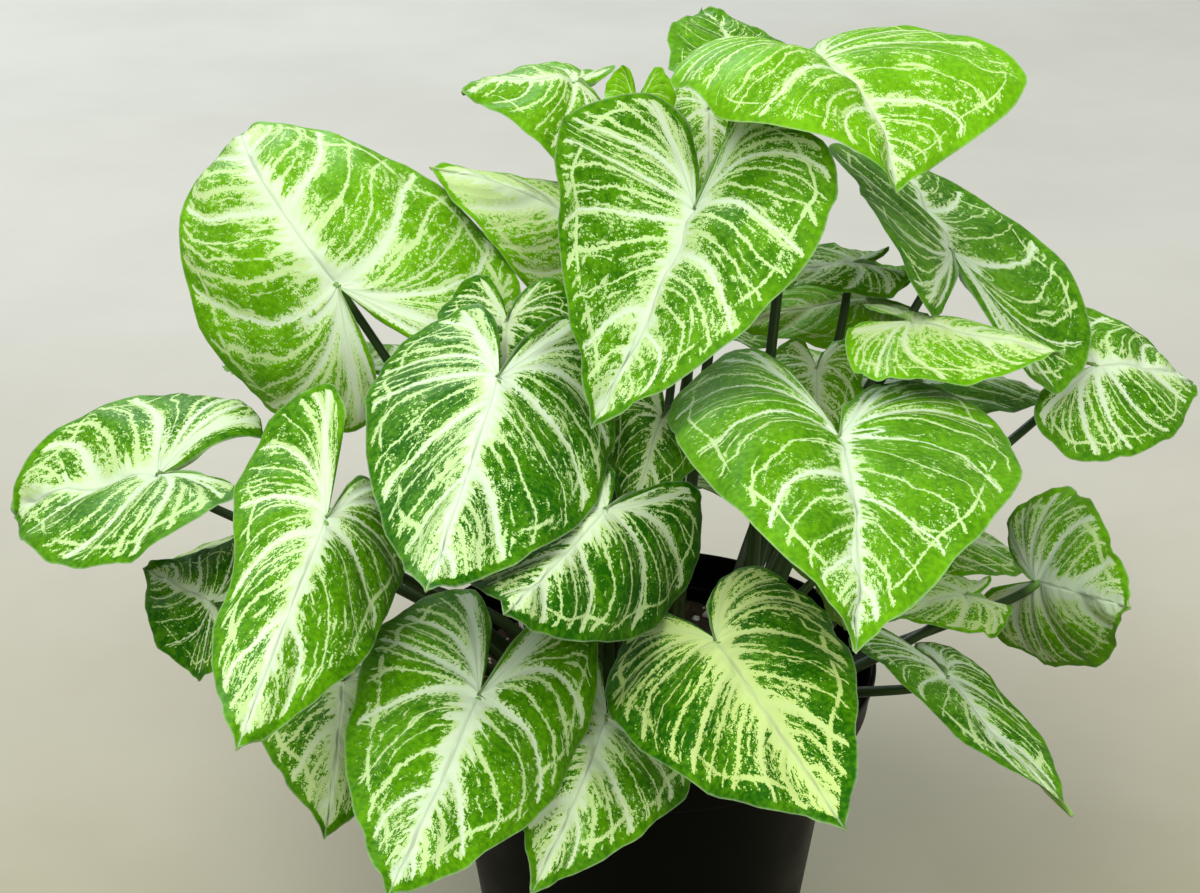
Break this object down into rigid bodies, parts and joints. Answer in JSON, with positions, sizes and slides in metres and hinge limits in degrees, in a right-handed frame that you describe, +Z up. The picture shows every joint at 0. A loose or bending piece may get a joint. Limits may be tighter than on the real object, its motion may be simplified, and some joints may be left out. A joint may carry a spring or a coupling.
{
  "type": "potted arrowhead plant",
  "caption": "Bushy house plant with heart-shaped, cream-veined leaves on long petioles, standing in a black plastic nursery pot filled with soil.",
  "frame": {"origin": "middle of the pot's underside, on the surface it stands on", "axes": "+Z up along the pot's axis, -Y toward the plant's front"},
  "size_m": [0.485, 0.4536, 0.417],
  "materials": {
    "pot": "black, slightly glossy moulded plastic",
    "soil": "loose, matt brown potting soil",
    "leaf": "soft green blade with a slight sheen, veined and speckled with cream"
  },
  "bodies": {
    "root": {"pot": "pot", "soil": "soil", "leaf_far_left": "leaf", "leaf_small_left": "leaf", "leaf_left_front": "leaf", "leaf_low_left": "leaf", "leaf_front_left": "leaf", "leaf_front_mid": "leaf", "leaf_front_right": "leaf", "leaf_centre_low": "leaf", "leaf_mid_left": "leaf", "leaf_centre_top": "leaf", "leaf_top_right": "leaf", "leaf_top_back": "leaf", "leaf_top_left": "leaf", "leaf_back_centre": "leaf", "leaf_back_left": "leaf", "leaf_right_upper": "leaf", "leaf_right_low": "leaf", "leaf_far_right": "leaf", "leaf_right_lower": "leaf", "leaf_right_droop": "leaf", "leaf_centre_right": "leaf", "leaf_streaked": "leaf", "leaf_inner_right": "leaf", "leaf_under_right": "leaf", "leaf_pale_right": "leaf", "leaf_backlit": "leaf", "leaf_sinus_left": "leaf", "leaf_dark_centre": "leaf", "leaf_yellow_top": "leaf", "leaf_behind_sinus": "leaf", "leaf_back_a": "leaf", "leaf_back_b": "leaf", "leaf_back_c": "leaf", "leaf_back_d": "leaf", "leaf_back_e": "leaf", "leaf_back_f": "leaf", "leaf_back_g": "leaf", "leaf_back_h": "leaf", "leaf_back_i": "leaf"}
  },
  "joints": []
}
